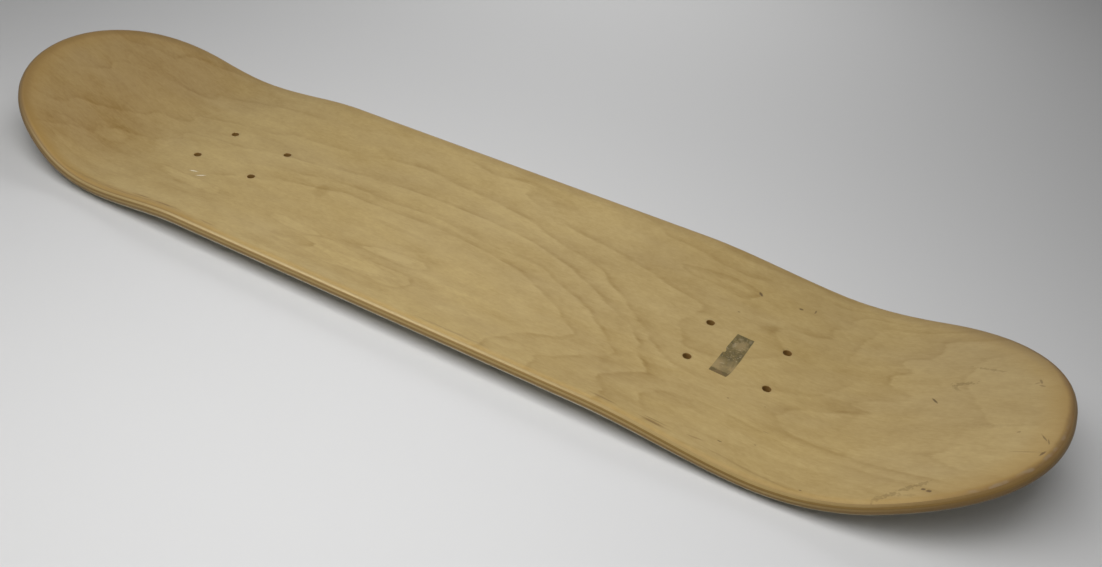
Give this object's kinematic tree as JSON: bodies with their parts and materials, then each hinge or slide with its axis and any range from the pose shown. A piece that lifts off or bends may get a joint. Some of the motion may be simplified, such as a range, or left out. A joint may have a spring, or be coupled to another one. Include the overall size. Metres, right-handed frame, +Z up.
{
  "type": "skateboard deck",
  "caption": "Bare laminated maple skateboard deck with a raised nose and tail, a concave top, a rounded rim, truck bolt holes and the worn remains of a label.",
  "frame": {"origin": "on the flat of the underside, midway between the two trucks", "axes": "+X towards the nose, +Y across the board to its left side when the nose leads, +Z up out of the standing face"},
  "size_m": [0.7929, 0.2092, 0.0578],
  "materials": {
    "maple_face": "clear satin lacquer over plain-sliced maple, grain along the board, light wear",
    "maple_core": "sanded and lacquered veneer edge, grain along the board",
    "maple_crossband": "sanded and lacquered veneer edge, grain across the board, so its edge looks darker",
    "painted_maple": "pale grey painted veneer, satin",
    "worn_label": "dark printed film, rubbed and torn, bare of any text"
  },
  "bodies": {
    "root": {"top_face_veneer": "maple_face", "upper_core_veneer": "maple_core", "upper_crossband_veneer": "maple_crossband", "middle_core_veneer": "maple_core", "lower_crossband_veneer": "maple_crossband", "lower_core_veneer": "maple_core", "bottom_face_veneer": "painted_maple", "worn_label": "worn_label"}
  },
  "joints": []
}
